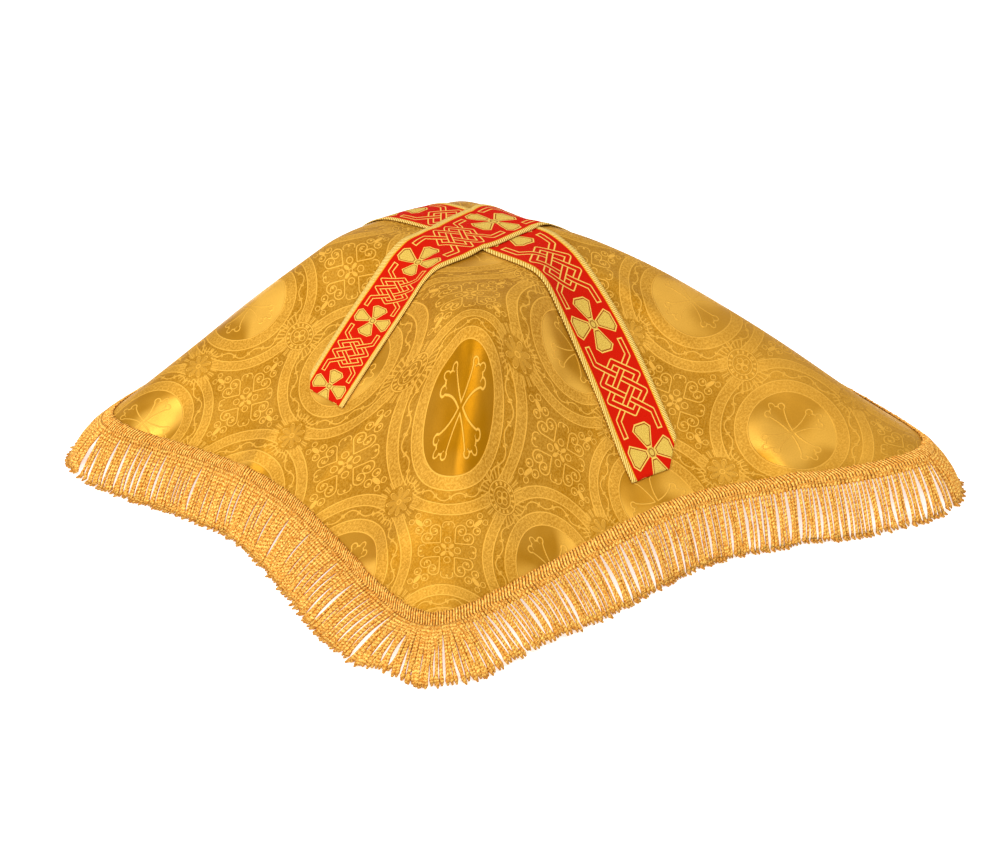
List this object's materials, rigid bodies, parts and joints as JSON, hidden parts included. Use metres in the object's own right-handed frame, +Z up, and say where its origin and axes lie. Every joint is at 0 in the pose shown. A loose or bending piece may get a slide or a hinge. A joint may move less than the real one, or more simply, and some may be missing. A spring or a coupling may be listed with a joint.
{
  "type": "funeral pall",
  "caption": "Small square gold damask pall with crossed red and gold woven bands and a corded fringe, draped like a low tent with an open space beneath.",
  "frame": {"origin": "middle of the footprint, on the surface that the fringe rests on", "axes": "+Z up, -Y towards the side that the long arm of the cross falls down, +X along the upper band away from its seen end"},
  "size_m": [0.6046, 0.6618, 0.1857],
  "materials": {
    "gold_damask": "satin damask, light figure on a darker ground",
    "woven_band": "matt woven band, pale gold figures and edges",
    "gold_cord": "twisted silky cord"
  },
  "bodies": {
    "root": {"damask_cloth": "gold_damask", "lower_band": "woven_band", "upper_band": "woven_band", "fringe": "gold_cord"}
  },
  "joints": []
}
